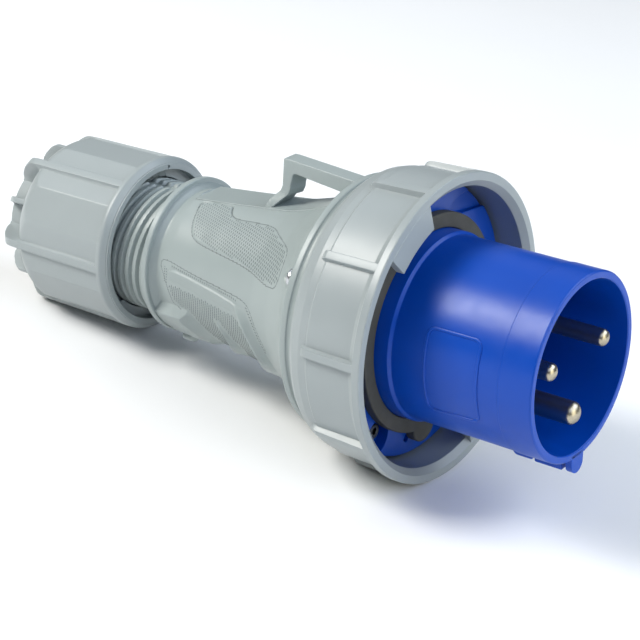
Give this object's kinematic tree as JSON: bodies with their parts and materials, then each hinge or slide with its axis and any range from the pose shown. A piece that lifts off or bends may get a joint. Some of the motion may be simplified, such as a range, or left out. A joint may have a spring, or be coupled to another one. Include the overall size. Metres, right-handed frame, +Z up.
{
  "type": "industrial pin and sleeve plug",
  "caption": "Watertight industrial pin and sleeve power plug with blue shroud, bayonet locking ring, flared grey grip with hanging eye and cable gland nut",
  "frame": {"origin": "On the table under the middle of the lying plug's bounding box", "axes": "+X toward the shroud mouth, along the plug's length with the mouth raised a little, +Z up, +Y to the left when looking along +X"},
  "size_m": [0.2376, 0.1066, 0.106],
  "materials": {
    "grey_plastic": "satin, fine moulded grain",
    "grey_plastic_cool": "satin, fine moulded grain",
    "blue_plastic": "semi-gloss moulding",
    "dark_plastic": "matt moulding",
    "nickel_brass": "nickel plated brass, bright",
    "zinc_steel": "zinc plated steel",
    "black_rubber": "matt rubber",
    "grey_rubber": "matt dark grey rubber"
  },
  "bodies": {
    "plug": {"handle_housing": "grey_plastic", "front_shell": "blue_plastic", "contact_retainer": "dark_plastic", "line_pin": "nickel_brass", "neutral_pin": "nickel_brass", "earth_pin": "nickel_brass", "terminal_screws": "zinc_steel", "wire_clamps": "nickel_brass", "retainer_screws": "zinc_steel", "pin_seals": "black_rubber", "face_gasket": "grey_rubber", "shell_seal": "black_rubber", "shell_screws": "zinc_steel", "handle_screws": "zinc_steel", "gland_seal": "black_rubber"},
    "locking_ring": {"bayonet_ring": "grey_plastic_cool"},
    "gland_pusher": {"gland_washer": "dark_plastic"},
    "gland_nut": {"gland_nut": "grey_plastic_cool"}
  },
  "joints": [
    {"name": "ring_turn", "type": "hinge", "parent": "plug", "child": "locking_ring", "pos_m": [0.03937, 0, 0.04981], "axis": [0.9907, 0, 0.1361], "range_deg": [0, 50]},
    {"name": "gland_travel", "type": "slide", "parent": "plug", "child": "gland_pusher", "axis": [0.9907, 0, 0.1361], "range_m": [-0.0151, 0.0131]},
    {"name": "gland_nut_turn", "type": "hinge", "parent": "gland_pusher", "child": "gland_nut", "pos_m": [-0.08447, 0, 0.03281], "axis": [0.9907, 0, 0.1361], "range_deg": [-235.8, 271.8]}
  ],
  "couplings": [
    {"joint": "gland_travel", "follows": "gland_nut_turn", "m_per_rad": -0.0031831}
  ]
}
